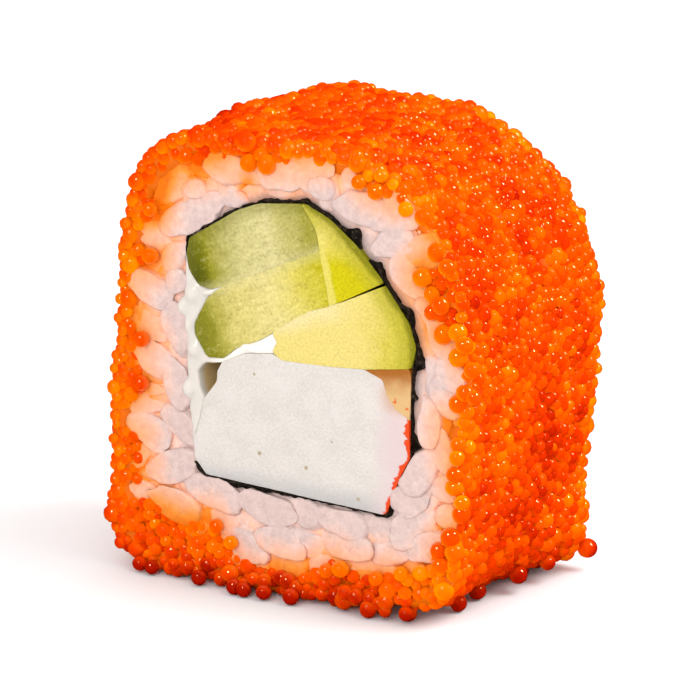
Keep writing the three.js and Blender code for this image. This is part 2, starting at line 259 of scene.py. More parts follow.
class Paint:
    """A material with one Principled shader, and a method that adds any node to it."""

    def __init__(self, name, **constants):
        self.material = bpy.data.materials.new(name)
        self.material.use_nodes = True
        self.tree = self.material.node_tree
        self.shader = self.tree.nodes["Principled BSDF"]
        for socket, value in constants.items():
            self.shader.inputs[socket.replace("_", " ")].default_value = value

    def node(self, kind, settings=None, inputs=None, output=0):
        made = self.tree.nodes.new(kind)
        for key, value in (settings or {}).items():
            if key == "stops":
                self.set_stops(made.color_ramp, value)
            else:
                setattr(made, key, value)
        for key, value in (inputs or {}).items():
            self.feed(made.inputs[key], value)
        return Value(self, made.outputs[output])

    @staticmethod
    def set_stops(ramp, stops):
        while len(ramp.elements) < len(stops):
            ramp.elements.new(0.5)
        for element, (place, colour) in zip(ramp.elements, stops):
            element.position, element.color = place, (*colour, 1)

    def feed(self, socket, value):
        if isinstance(value, Value):
            self.tree.links.new(value.socket, socket)
        elif isinstance(value, tuple) and socket.type == "RGBA":
            socket.default_value = (*value, 1)
        else:
            socket.default_value = value

    def set(self, socket, value):
        self.feed(self.shader.inputs[socket], value)

    def coordinates(self):
        return self.node("ShaderNodeTexCoord", output="Object")

    def place(self):
        """x, y and z on the piece in millimetres as drawn."""
        split = self.node("ShaderNodeSeparateXYZ", inputs={0: self.coordinates()}).socket.node
        x, y, z = (Value(self, socket) * (1 / MM) for socket in split.outputs)
        return x + MIDDLE_X, y, z

    def attribute(self, name):
        return self.node("ShaderNodeAttribute", {"attribute_name": name}, output="Fac")

    def cloud(self, size, detail=2.0, stretch=(1, 1, 1), turn=0.0):
        """Soft noise about 0.5, with lumps of a size in millimetres, stretched and turned on the face."""
        aim = {"Vector": self.coordinates(), "Rotation": (0, turn, 0)}
        turned = self.node("ShaderNodeMapping", inputs=aim)
        scale = {"Vector": turned, "Scale": tuple(s / (size * MM) for s in stretch)}
        inputs = {"Vector": self.node("ShaderNodeMapping", inputs=scale), "Scale": 1.0, "Detail": detail}
        return self.node("ShaderNodeTexNoise", {"noise_dimensions": "3D"}, inputs)

    def cells(self, size):
        """A value from 0 to 1 for each cell of a size in millimetres."""
        inputs = {"Vector": self.coordinates(), "Scale": 1 / (size * MM)}
        return self.node("ShaderNodeTexVoronoi", {}, inputs, output="Color")

    def mix(self, first, second, share):
        settings = {"data_type": "RGBA", "blend_type": "MIX"}
        return self.node("ShaderNodeMix", settings, {0: share, 6: first, 7: second}, output=2)

    def vary(self, colour, texture, amount):
        """The colour made lighter and darker by a texture about 0.5."""
        inputs = {"Color": colour, "Value": (texture - 0.5) * amount + 1}
        return self.node("ShaderNodeHueSaturation", inputs=inputs)

    def bump(self, height, distance, strength=1.0):
        inputs = {"Height": height, "Distance": distance * MM, "Strength": strength}
        self.set("Normal", self.node("ShaderNodeBump", inputs=inputs))


def seen(red, green, blue):
    """Surface colour that shows as these screen values, 0 to 255, on a cut face in this light."""
    parts = (red / 255, green / 255, blue / 255)
    return tuple((c / 12.92 if c <= 0.04045 else ((c + 0.055) / 1.055) ** 2.4) / FACE_LIGHT for c in parts)


def at(x, y, z):
    return Vector((x - MIDDLE_X, y, z)) * MM


def to_frame(points):
    return (points - np.array([MIDDLE_X, 0, 0])) * MM


def drawn(mesh):
    """Places of a mesh's points in millimetres as drawn."""
    flat = np.zeros(len(mesh.vertices) * 3)
    mesh.vertices.foreach_get("co", flat)
    return flat.reshape(-1, 3) / MM + np.array([MIDDLE_X, 0, 0])


def keep_value(mesh, name, values):
    layer = mesh.attributes.new(name, "FLOAT", "POINT")
    layer.data.foreach_set("value", np.asarray(values, np.float32).ravel())


def link_object(name, data):
    made = bpy.data.objects.new(name, data)
    bpy.context.scene.collection.objects.link(made)
    return made


def finish_piece(name, mesh, material, node):
    mesh.materials.append(material)
    mesh.polygons.foreach_set("use_smooth", [True] * len(mesh.polygons))
    piece = link_object(name, mesh)
    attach(piece, "root")
    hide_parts(node)


def to_mesh(bm, name):
    mesh = bpy.data.meshes.new(name)
    bm.to_mesh(mesh)
    bm.free()
    return mesh


def everything(bm):
    return bm.verts[:] + bm.edges[:] + bm.faces[:]


def pull_through(bm, faces, depth):
    """Extrudes cut faces drawn at the front through to the back."""
    region = bmesh.ops.extrude_face_region(bm, geom=faces, use_keep_orig=True)["geom"]
    moved = [v for v in region if isinstance(v, bmesh.types.BMVert)]
    bmesh.ops.translate(bm, vec=(0, depth * MM, 0), verts=moved)
    bmesh.ops.recalc_face_normals(bm, faces=bm.faces)


def cut(bm, spot, normal):
    bmesh.ops.bisect_plane(bm, geom=everything(bm), plane_co=at(*spot), plane_no=normal, dist=1e-7)


# Where the sides of a filling are divided along the roll: first place and spacing
SLAB_CUTS = (2, 2.5)
# Steps from one pattern of noise to the next
SURFACE_SHIFT = (7.3, 3.1, 5.7)
POINT_SHIFT = (11.7, 4.9, 8.3)


def slab(outline, depth, rim, cell):
    """A prism through the roll with rounded rims, its cut faces divided into cells."""
    bm = bmesh.new()
    front = bm.faces.new([bm.verts.new(at(x, -depth / 2, z)) for x, z in outline.points])
    pull_through(bm, [front], depth)
    rims = [e for e in bm.edges if abs(e.verts[0].co.y - e.verts[1].co.y) < 0.1 * MM]
    bmesh.ops.bevel(bm, geom=rims, offset=rim * MM, offset_type="OFFSET", segments=3, profile=0.5,
                    affect="EDGES", material=-1)
    low, high = outline.points.min(0), outline.points.max(0)
    for x in np.arange(low[0] + cell, high[0], cell):
        cut(bm, (x, 0, 0), (1, 0, 0))
    for z in np.arange(low[1] + cell, high[1], cell):
        cut(bm, (0, 0, z), (0, 0, 1))
    for y in np.arange(-FACE + SLAB_CUTS[0], FACE, SLAB_CUTS[1]):
        cut(bm, (0, y, 0), (0, 1, 0))
    return bm


def shift_of(seed, steps):
    return Vector([seed * step for step in steps])


def roughen(bm, amount, size, seed):
    """Moves the surface in and out by soft noise, with lumps of a size in millimetres."""
    bm.normal_update()
    shift = shift_of(seed, SURFACE_SHIFT)
    for vert in bm.verts:
        vert.co += vert.normal * amount * MM * noise.noise(vert.co / (size * MM) + shift)


def swell(bm, amount, size, seed):
    """Moves the cut faces in and out by soft noise that is the same all through the roll."""
    shift = shift_of(seed, SURFACE_SHIFT)
    for vert in bm.verts:
        flat = Vector((vert.co.x, 0, vert.co.z)) / (size * MM)
        vert.co.y *= 1 + amount / FACE * noise.noise(flat + shift)


def sleeve(outer, inner, depth, spacing):
    """A ring through the roll between two loops of as many points."""
    bm = bmesh.new()
    loops = []
    for line in (outer, inner):
        ring = [bm.verts.new(at(x, -depth / 2, z)) for x, z in line]
        loops += [bm.edges.new((a, b)) for a, b in zip(ring, ring[1:] + ring[:1])]
    bmesh.ops.bridge_loops(bm, edges=loops)
    pull_through(bm, bm.faces[:], depth)
    for y in np.arange(-depth / 2 + spacing, depth / 2, spacing):
        cut(bm, (0, y, 0), (0, 1, 0))
    return bm


def ball(subdivisions):
    bm = bmesh.new()
    bmesh.ops.create_icosphere(bm, subdivisions=subdivisions, radius=1)
    points = np.array([v.co for v in bm.verts])
    faces = np.array([[v.index for v in f.verts] for f in bm.faces])
    bm.free()
    return points, faces


def joined(name, parts, faces):
    """One mesh of many like shapes. parts holds shapes by points by 3, in millimetres as drawn."""
    count, size = parts.shape[:2]
    mesh = bpy.data.meshes.new(name)
    all_faces = (faces[None] + (np.arange(count) * size)[:, None, None]).reshape(-1, faces.shape[1])
    mesh.from_pydata(to_frame(parts).reshape(-1, 3), [], all_faces)
    return mesh


def wobble(spots, size, seed):
    """Soft noise from -1 to 1 at points in millimetres."""
    shift = shift_of(seed, POINT_SHIFT)
    return np.array([noise.noise(Vector(p) / size + shift) for p in spots])


def add_lumps(values, spots, lumps):
    """Values raised round some places. Each lump is a place, then a height and a reach."""
    for *place, height, reach in lumps:
        away = np.linalg.norm(spots - np.array(place), axis=1)
        values = values + height * np.exp(-(away / reach) ** 2)
    return values


def upright(spots, depth):
    """Spots on the cut face with how deep each lies: x, y and z."""
    return np.stack([spots[:, 0], depth, spots[:, 1]], 1)


roll = Outline(ROLL)
nori_line = Outline(NORI)
roe_edge = Outline(ROE_EDGE)


# Fish eggs

EGG_SEED = 21
EGG_PIECES = 2
# Least distance of two eggs, as a share of the sum of their radii
EGG_APART = 0.58
# How far an egg is from round
EGG_SPREAD = (0.93, 1.04)
# Smallest and largest egg of each kind, across
EGG_LARGE = (1.8, 2.15)
EGG_MIDDLE = (1.35, 1.8)
EGG_ON_FACE = (1.15, 1.65)
EGG_SMALL = (1.0, 1.35)
EGG_AT_FOOT = (1.3, 1.9)
# How many eggs are tried in each place. One that finds no room is left out.
FOOT_TRIES = 70
LARGE_SIDE_TRIES = 150
LARGE_FACE_TRIES = 60
LARGE_RIM_TRIES = {-1: 40, 1: 110}
SIDE_TRIES = 15000
SIDE_FILL_TRIES = 12000
FACE_TRIES = 12000
FACE_FILL_TRIES = 8000
# Lowest and highest x and z where eggs are tried on a cut face
FACE_BOX = ((-22, 0), (23, 47.5))
# How deep the eggs of the side are sunk, as a share of their radius
SINK_LARGE = 0.85
SINK_MIDDLE = 1.0
SINK_SMALL = 1.3
# How far eggs lie behind a cut face
FACE_SUNK = 0.5
FACE_SUNK_DEEP = 1.1
# Eggs of the side: how far they reach past a cut face, and how unevenly they lie
SIDE_PAST = 0.3
SIDE_UNEVEN = 0.15
# The rounded rim of the coat: its width, and how fast it drops
RIM_WIDTH = 1.5
RIM_DROP = 0.3
# Eggs of a cut face: least room, how far over the coat's edge, how unevenly, and the back edge's own waves
FACE_ROOM = 0.6
EDGE_OVER = 0.05
FACE_UNEVEN = 0.35
BACK_WAVES = 0.9
# Ranges for eggs at the foot: along x, out of the cut face and up
FOOT_ALONG = (-13, 15)
FOOT_OUT = (-0.4, 0.6)
FOOT_UP = (0, 1.4)
# Large eggs over the rim: how far inside the outline, and how far behind the cut face with its range
OVER_INSIDE = (0.8, 1.8)
OVER_SUNK = 0.4
OVER_OUT = (-0.5, 0.4)
SPILLED_OUT = (-0.45, 0)
# How much yellower or redder the eggs of a place are. Eggs on the cut faces are painted yellower, as painted
# light shining through them from the rice behind, and the lone eggs, most of them at the foot, are painted
# redder, as painted shade
LONE_PAINTED_SHADE = -0.3
SPILLED_PAINTED_GLOW = 0.25
FACE_PAINTED_GLOW = 0.12
# An egg's own tone: lowest and spread, and how much redder the foot is painted, as painted shade
TONE_LOWEST = 0.16
TONE_SPREAD = 0.5
FOOT_PAINTED_SHADE = 0.22
# Painted light on each egg: its far side from the light, and where it meets its neighbours, are painted
# yellower
FAR_SIDE_PAINTED_LIGHT = 0.4
CREASE_FROM = 0.72
EGG_CREASE_PAINTED_LIGHT = 0.45
# Share of clear flesh and of wet shine, for loose eggs and for those of the coat
LOOSE_CLEAR = 0.35
LOOSE_WET = 0.8
COAT_CLEAR = 0.2
COAT_WET = 0.35
WET_SPREAD = 0.35
# Single eggs that stand out of the coat: x, y, z and size
LONE_EGGS = [
    (20.9, 12.2, 2.4, 2.1), (-16.8, -12.7, 0.9, 1.6), (-15.2, -12.9, 0.85, 1.5),
    (-9.2, -13.2, 0.9, 1.7), (-4.7, -13.6, 0.85, 1.6), (-3.4, -13.8, 0.8, 1.5), (-4, -12.8, 0.9, 1.6),
    (-1.2, -13.5, 0.85, 1.6), (1.9, -13.3, 0.9, 1.7), (16.6, 6, 1, 2), (16.3, 10, 0.75, 1.4),
    (16.5, -1.9, 0.95, 1.8), (16.9, -6.1, 0.95, 1.8), (14.4, -11.4, 0.95, 1.8), (18.9, 2, 2, 1.9),
    (19.6, 6.5, 2.2, 1.7),
]
# Eggs that have spilled onto the front face: x, z and size
SPILLED_EGGS = [
    (16.5, 35.2, 2.1), (17.6, 33.7, 1.6), (17.6, 31.9, 1.6), (18.8, 32.8, 1.8), (18.9, 29.9, 2),
    (20.4, 30.3, 1.9), (20.6, 27.9, 2), (21.4, 29.3, 1.8), (22, 26.8, 1.6), (22.3, 24.2, 1.5),
    (19.4, 36.6, 1.8), (14.6, 41.6, 1.6), (20.5, 19.2, 1.5), (20.6, 18, 1.6), (20.2, 16.2, 1.8),
    (21, 12.4, 1.9), (21.2, 13.6, 1.6), (19.9, 9.9, 2), (18.4, 8.2, 1.8), (20.4, 8.5, 2),
    (18.7, 6.9, 1.7), (16.5, 5.7, 1.7), (14.3, 5.2, 1.6), (11.5, 4.3, 1.5), (7.3, 4.5, 1.8),
    (5.6, 4, 1.6), (-7.6, 6.3, 1.6), (-5.8, 4.9, 1.5), (-16.5, 19.8, 1.7), (-16.3, 24.4, 1.7),
    (-15.3, 33, 1.8), (-15.1, 37.8, 1.5), (-3.4, 43.9, 1.9), (-1.2, 44, 2), (11.3, 42.9, 1.8),
    (9.4, 43.6, 1.6),
]
# Where the coat swells or draws in: x, y, z, height and reach
COAT_LUMPS = [
    (-5, 9, 46.7, 0.8, 8), (-15, 1, 45.3, 1.3, 4), (-18.5, -11, 43, 0.6, 4), (7, 11, 46.7, 0.5, 4),
    (18, -4, 1.5, -0.7, 6), (13, -12, 0.5, -1.5, 4), (20.5, 11, 3, 1.2, 4), (14, 4, 45.5, -0.5, 6),
    (22.3, 9, 27, 0.7, 9), (-20.4, -10, 33, 0.5, 3), (-21.3, -9, 20, 0.4, 4), (-21, -10, 5, 0.8, 4),
]
# Where the eggs are yellower, or redder below zero: x, y, z, amount and reach
YELLOW_EGGS = [
    (18.5, -12, 6, 0.2, 4), (20.5, -11, 20, 0.1, 8), (-19, -12, 4.5, -0.16, 4),
    (20.9, 12.2, 2.4, -0.2, 1.5),
]
# Colours of an egg from deep red to yellow
ROE_TONES = [
    (0.0, (0.4, 0.008, 0.0)), (0.25, (0.7, 0.035, 0.0)), (0.5, (0.88, 0.09, 0.0)),
    (0.75, (1.0, 0.17, 0.0)), (1.0, (1.0, 0.28, 0.0)),
]
# Direction to the main light. An egg is painted paler on its far side, as painted light for the light that
# enters it and gathers there.
LIGHT_FROM = np.array([0.62, 0.21, 0.75])


class EggHeap:
    """Eggs that keep a least distance, taken in the order they are offered."""

    CELL = 2.4

    def __init__(self):
        self.cells = {}
        self.centres, self.radii, self.glow = [], [], []

    def offer(self, centres, radii, glow):
        centres[:, 2] = np.maximum(centres[:, 2], radii * EGG_SPREAD[1])
        for (x, y, z), radius, light in zip(centres.tolist(), radii.tolist(), glow.tolist()):
            home = (int(x // self.CELL), int(y // self.CELL), int(z // self.CELL))
            if self.has_room(home, x, y, z, radius):
                self.cells.setdefault(home, []).append((x, y, z, radius))
                self.centres.append((x, y, z))
                self.radii.append(radius)
                self.glow.append(light)

    def has_room(self, home, x, y, z, radius):
        for i in (-1, 0, 1):
            for j in (-1, 0, 1):
                for k in (-1, 0, 1):
                    for a, b, c, other in self.cells.get((home[0] + i, home[1] + j, home[2] + k), ()):
                        if (x - a) ** 2 + (y - b) ** 2 + (z - c) ** 2 < (EGG_APART * (radius + other)) ** 2:
                            return False
        return True


def coat_height(spots):
    """How far the coat stands out of its outline at points in millimetres."""
    return add_lumps(0.35 * wobble(spots, 5.0, 3), spots, COAT_LUMPS)


def side_eggs(rng, count, sizes, sink):
    """Candidate eggs on the outside of the coat, sunk by a share of their radius."""
    radii = rng.uniform(*sizes, count) / 2
    spot, normal = roll.at(rng.uniform(0, roll.length, count))
    depth = rng.uniform(-1, 1, count) * (FACE + SIDE_PAST - radii)
    rim = np.clip(np.abs(depth) - (FACE - RIM_WIDTH), 0, None)
    height = coat_height(upright(spot, depth))
    inward = sink * radii - height + rng.uniform(-SIDE_UNEVEN, SIDE_UNEVEN, count) + RIM_DROP * rim ** 2
    place = spot - normal * inward[:, None]
    # Painted light: eggs of the side near a cut face are painted yellower
    glow = 0.05 * np.clip(np.abs(depth) - (FACE - 3), 0, 2)
    return upright(place, depth), radii, glow


def face_eggs(rng, count, sizes, face, sunk=FACE_SUNK):
    """Candidate eggs on the rim of a cut face, out to the uneven edge of the coat."""
    radii = rng.uniform(*sizes, count) / 2
    spots = rng.uniform(*FACE_BOX, (count, 2))
    reach = roe_edge.inside(spots)
    if face > 0:
        reach = reach + BACK_WAVES * wobble(upright(spots, np.zeros(count)), 3.0, 5)
    room = roll.inside(spots) + coat_height(upright(spots, np.full(count, face * FACE)))
    good = (room > FACE_ROOM) & (reach < (EDGE_OVER - sunk) * radii)
    spots, radii = spots[good], radii[good]
    depth = face * (FACE - sunk + rng.uniform(-FACE_UNEVEN, FACE_UNEVEN, len(radii)))
    return upright(spots, depth), radii, np.full(len(radii), FACE_PAINTED_GLOW)


def foot_eggs(rng, count, sizes):
    """Candidate eggs that hang at the foot of the cut faces."""
    radii = rng.uniform(*sizes, count) / 2
    depth = (FACE + rng.uniform(*FOOT_OUT, count)) * rng.choice([-1, 1], count)
    place = np.stack([rng.uniform(*FOOT_ALONG, count), depth, radii + rng.uniform(*FOOT_UP, count)], 1)
    return place, radii, np.zeros(count)


def rim_eggs(rng, count, sizes, face):
    """Candidate eggs that hang over the edge between the outside and a cut face."""
    radii = rng.uniform(*sizes, count) / 2
    spot, normal = roll.at(rng.uniform(0, roll.length, count))
    place = spot - normal * rng.uniform(*OVER_INSIDE, (count, 1))
    depth = face * (FACE - OVER_SUNK + rng.uniform(*OVER_OUT, count))
    return upright(place, depth), radii, np.full(count, FACE_PAINTED_GLOW)


def place_eggs(rng):
    """Middles, radii and tones of all eggs, and how many of the first ones are loose."""
    heap = EggHeap()
    lone = np.array(LONE_EGGS)
    heap.offer(lone[:, :3], lone[:, 3] / 2, np.full(len(lone), LONE_PAINTED_SHADE))
    spilled = np.array(SPILLED_EGGS)
    place = upright(spilled, -FACE + rng.uniform(*SPILLED_OUT, len(spilled)))
    heap.offer(place, spilled[:, 2] / 2, np.full(len(spilled), SPILLED_PAINTED_GLOW))
    heap.offer(*foot_eggs(rng, FOOT_TRIES, EGG_AT_FOOT))
    loose = len(heap.radii)
    heap.offer(*side_eggs(rng, LARGE_SIDE_TRIES, EGG_LARGE, SINK_LARGE))
    for face in (-1, 1):
        heap.offer(*face_eggs(rng, LARGE_FACE_TRIES, EGG_LARGE, face))
    for face, tries in LARGE_RIM_TRIES.items():
        heap.offer(*rim_eggs(rng, tries, EGG_LARGE, face))
    heap.offer(*side_eggs(rng, SIDE_TRIES, EGG_MIDDLE, SINK_MIDDLE))
    for face in (-1, 1):
        heap.offer(*face_eggs(rng, FACE_TRIES, EGG_ON_FACE, face))
    heap.offer(*side_eggs(rng, SIDE_FILL_TRIES, EGG_SMALL, SINK_SMALL))
    for face in (-1, 1):
        heap.offer(*face_eggs(rng, FACE_FILL_TRIES, EGG_SMALL, face))
        heap.offer(*face_eggs(rng, FACE_FILL_TRIES, EGG_ON_FACE, face, FACE_SUNK_DEEP))
    return np.array(heap.centres), np.array(heap.radii), np.array(heap.glow), loose


def roe_paint(name, clear):
    paint = Paint(name, Roughness=0.08, IOR=1.36, Specular_IOR_Level=0.05, Transmission_Weight=clear,
                  Coat_Roughness=0.04, Coat_IOR=1.5)
    tone = paint.attribute("tone")
    paint.set("Base Color", paint.node("ShaderNodeValToRGB", {"stops": ROE_TONES}, {0: tone}))
    paint.set("Coat Weight", paint.attribute("wet"))
    return paint.material


def out_of_coat(centres):
    """Direction straight out of the coat at each egg."""
    flat = centres[:, ::2]
    outward = -roll.inward(flat)
    to_side = np.clip(1 - (roll.inside(flat) - 1) / 2, 0, 1)
    to_face = np.clip((np.abs(centres[:, 1]) - FACE + 2) / 1.5, 0, 1) * np.sign(centres[:, 1])
    way = upright(outward * to_side[:, None], to_face)
    return way / (np.linalg.norm(way, axis=1)[:, None] + TINY)


def egg_tones(rng, centres, glow):
    """From 0 for deep red to 1 for yellow: each egg its own, with patches, and painted darker at the foot
    and low on the sides, as painted shade.
    """
    side = np.clip((FACE - np.abs(centres[:, 1])) / 3, 0, 1)
    # Painted shade: eggs are painted redder towards the foot and low on the sides
    low = np.clip(1 - centres[:, 2] / 5, 0, 1) + 0.4 * side * np.clip(1 - centres[:, 2] / 24, 0, 1)
    patches = 0.2 * wobble(centres, 4.0, 8) + 0.12 * wobble(centres, 9.0, 9)
    patches = add_lumps(patches, centres, YELLOW_EGGS)
    own = rng.beta(2, 2.6, len(centres)) * TONE_SPREAD + TONE_LOWEST
    return own + glow + patches - FOOT_PAINTED_SHADE * low


def join_eggs(rng, name, points, faces, eggs, paint, wet):
    """One piece of many eggs, with the colour at each point and how wet each egg is."""
    centres, radii, tone = eggs
    squash = rng.uniform(*EGG_SPREAD, (len(radii), 1, 3))
    mesh = joined(name, points[None] * squash * radii[:, None, None] + centres[:, None], faces)
    # Painted light: each egg is painted yellower on its far side from the lamp and in its creases with its
    # neighbours
    away = np.clip(-points @ LIGHT_FROM, 0, None)
    creases = np.clip(CREASE_FROM - out_of_coat(centres) @ points.T, 0, 1)
    painted_light = FAR_SIDE_PAINTED_LIGHT * away[None] ** 1.5 + EGG_CREASE_PAINTED_LIGHT * creases - 0.05
    keep_value(mesh, "tone", np.clip(tone[:, None] + painted_light, 0, 1))
    shine = np.clip(rng.normal(wet, WET_SPREAD, len(radii)), 0, 1)
    keep_value(mesh, "wet", np.repeat(shine, len(points)))
    finish_piece(name, mesh, paint, "roe_coat")


def make_eggs():
    rng = np.random.default_rng(EGG_SEED)
    centres, radii, glow, loose = place_eggs(rng)
    tone = egg_tones(rng, centres, glow)
    eggs = (centres[:loose], radii[:loose], tone[:loose])
    join_eggs(rng, "roe_loose", *ball(3), eggs, roe_paint("clear_fish_egg", LOOSE_CLEAR), LOOSE_WET)
    points, faces = ball(2)
    paint = roe_paint("wet_fish_egg", COAT_CLEAR)
    order = loose + np.argsort(-radii[loose:])
    for index, chosen in enumerate(np.array_split(order, EGG_PIECES)):
        eggs = (centres[chosen], radii[chosen], tone[chosen])
        join_eggs(rng, f"roe_{index + 1}", points, faces, eggs, paint, COAT_WET)


# Core under the eggs: how far its walls lie inside the outline, how much shorter it is, and its lowest z
ROE_CORE_WALLS = (0.75, 2.7)
ROE_CORE_SHORT = 0.7
ROE_CORE_FOOT = 0.3


def make_roe_core():
    """The jelly between the eggs, redder on the side and yellower near the cut faces."""
    paint = Paint("roe_jelly", Roughness=0.3, Specular_IOR_Level=0.15)
    y = paint.place()[1]
    cloud = paint.cloud(2.5, 3)
    side = paint.mix((0.75, 0.03, 0.0), (0.92, 0.09, 0.0), cloud.step(0.3, 0.7))
    near_face = y.math("ABSOLUTE").ragged(cloud).step(FACE - 2.5, FACE - 0.8)
    paint.set("Base Color", paint.mix(side, seen(255, 118, 4), near_face))
    outer, inner = (roll.shrunk(depth) for depth in ROE_CORE_WALLS)
    bm = sleeve(outer, inner, ROLL_DEPTH - ROE_CORE_SHORT, spacing=0.7)
    roughen(bm, amount=0.35, size=1.3, seed=4)
    bm.normal_update()
    spots = np.array([vert.co for vert in bm.verts]) / MM + np.array([MIDDLE_X, 0, 0])
    for vert, height in zip(bm.verts, coat_height(spots)):
        vert.co += Vector((vert.normal.x, 0, vert.normal.z)) * height * MM
        vert.co.z = max(vert.co.z, ROE_CORE_FOOT * MM)
    finish_piece("roe_core", to_mesh(bm, "roe_core"), paint.material, "roe_coat")


# Rice

GRAIN_SEED = 8
GRAIN_FACETS = 4
GRAIN_SWELL = 1.15
# A grain's form: where facets flatten it, how much fuller one end is, how blunt the ends are, and its bend
GRAIN_FACET_AT = (0.75, 1.0)
GRAIN_FULLER = 0.14
GRAIN_BLUNT = 0.88
GRAIN_BEND = (0.4, 0.3)
# How thick a grain is, as a share of its width, and how far it tilts and spins, in radians
GRAIN_THICK = (0.85, 1.0)
GRAIN_TILT = 0.16
GRAIN_SPIN = 0.5
# How much further back a grain lies, and how much lower it is sliced, for each step of depth
GRAIN_STEP = 0.5
KNIFE_STEP = 0.24
KNIFE_SOFT = 0.1
# Least distance from the outside of the coat
RICE_MARGIN = 0.9
# Grains of the back face and those behind them: tries, depth and how far apart, as a share of the width
BACK_GRAINS = (2500, 0.1, 0.72)
UNDER_GRAINS = (2500, 1.7, 0.5)
# Strewn grains: lowest and highest place, and the ranges of their turn in degrees, length and width
RICE_BOX = ((-20, 1), (22, 46.5))
GRAIN_RANGES = ((0, 180), (4.2, 6.6), (2.5, 3.2))
# How much the tone of single grains differs, and how much paler those in front and deeper those behind are
GRAIN_TONE = 0.09
UNDER_TONE = 0.08
STAIN_FULL = 1.4
# Painted light: the creases between the grains are painted lighter and warmer, over some depth, for the
# light that passes through the grains
CREASE_DEPTH = (0.2, 0.7)
GRAIN_CREASE_PAINTED_LIGHT = 0.45
GRAIN_CREASE_PAINTED_WARMTH = 0.14
# Colours of the rice from clean to soaked with roe, as they show, also giving the painted warm light in the
# gaps
RICE_TONES = [
    (0.0, (233, 205, 198)), (0.14, (248, 206, 191)), (0.32, (262, 196, 166)), (0.54, (264, 184, 134)),
    (0.72, (260, 156, 60)), (0.9, (255, 124, 8)),
]
# Where the roe has coloured the rice more: x, z, amount and reach
STAINS = [
    (-12, 42, 0.2, 5), (3, 44, 0.1, 4), (17, 38, 0.2, 4), (-10, 6.5, 0.2, 4), (-3.7, 41.2, 0.9, 1.2),
    (-14.5, 39, 0.42, 3.5), (18.5, 16, 0.1, 5), (15.6, 9.2, -0.2, 4), (-17, 28, 0.1, 6),
]


def grain_shape(points, rng, length, width, thick):
    """One cooked grain along z: a bent, blunt oval that is fuller at one end."""
    points = points.copy()
    for way in rng.normal(size=(GRAIN_FACETS, 3)):
        way /= np.linalg.norm(way)
        points -= np.clip(points @ way - rng.uniform(*GRAIN_FACET_AT), 0, None)[:, None] * way
    along = points[:, 2]
    full = 1 + GRAIN_FULLER * along * rng.choice([-1, 1])
    blunt = np.sign(along) * np.abs(along) ** GRAIN_BLUNT
    across = points[:, :2] * full[:, None] * (width, thick)
    shape = np.column_stack([across, blunt * length]) / 2
    for axis, bend in enumerate(GRAIN_BEND):
        shape[:, axis] += rng.uniform(-bend, bend) * (along ** 2 - 0.4)
    seed = rng.uniform(0, 9)
    return shape * (1 + 0.16 * wobble(shape, 1.5, seed) + 0.07 * wobble(shape, 0.6, seed))[:, None]


def lay_grain(points, rng, face, grain):
    """A grain turned into its place on a cut face, its top sliced off where it stands out."""
    x, z, turn, length, width, deep = grain
    thick = width * rng.uniform(*GRAIN_THICK)
    shape = grain_shape(points, rng, length, width, thick) * GRAIN_SWELL
    flat_turn = Matrix.Rotation(math.radians(90 - turn), 3, "Y")
    tilt = Matrix.Rotation(rng.normal(0, GRAIN_TILT), 3, "X")
    spin = Matrix.Rotation(rng.uniform(-GRAIN_SPIN, GRAIN_SPIN), 3, "Z")
    spots = shape @ np.array(flat_turn @ tilt @ spin).T
    out = spots[:, 1] * face + FACE - 0.22 * thick - deep * GRAIN_STEP + rng.uniform(-0.2, 0.15)
    knife = FACE - KNIFE_STEP * deep + rng.uniform(-0.1, 0.06)
    knife = knife + spots[:, ::2] @ rng.normal(0, 0.06, 2)
    out = -KNIFE_SOFT * np.logaddexp(-out / KNIFE_SOFT, -knife / KNIFE_SOFT)
    return keep_within(upright(spots[:, ::2] + (x, z), face * out))


def keep_within(spots):
    """Draws points that would stand out of the coat back under the eggs."""
    flat = spots[:, ::2]
    short = np.clip(RICE_MARGIN - roll.inside(flat), 0, None)
    spots[:, ::2] += roll.inward(flat) * short[:, None]
    return spots


def loose_grains(rng, count, deep, apart):
    """Grains strewn between the seaweed and the roe."""
    kept, ends = [], []
    folds = np.array([fold for fold in NORI_FOLDS if fold[2] > 0.4])
    for _ in range(count):
        x, z = rng.uniform(*RICE_BOX)
        turn, length, width = (rng.uniform(*range_of) for range_of in GRAIN_RANGES)
        angle = math.radians(turn)
        way = np.array([math.cos(angle), math.sin(angle)]) * (length - width) / 2
        tips = np.array([(x, z) - way, (x, z), (x, z) + way])
        if nori_line.inside(tips).max() > -0.45 * width or roe_edge.inside(tips).min() < -0.5:
            continue
        if any(np.linalg.norm(tips - fold[:2], axis=1).min() < fold[2] + width / 2 for fold in folds):
            continue
        gaps = (np.linalg.norm(tips[:, None] - other[None], axis=2).min() for other in ends)
        if all(gap > apart * width for gap in gaps):
            ends.append(tips)
            kept.append((x, z, turn, length, width, deep + rng.uniform(-0.3, 0.3)))
    return kept


def stain_and_crease_light_of(spots):
    """How far the rice is coloured orange: 1 at the roe, where the roe has stained it, and in the gaps, as
    painted warm light, less towards the seaweed.
    """
    flat = spots[:, ::2]
    # Painted light: rice lying deeper behind the cut face, in the gaps, is painted more orange
    sunk = np.clip(FACE - np.abs(spots[:, 1]) - 0.15, 0, 1)
    stain = 0.95 - roe_edge.inside(flat) / 4.5 + 0.3 * sunk + 0.22 * wobble(spots, 5.0, 2)
    return add_lumps(stain, flat, STAINS)


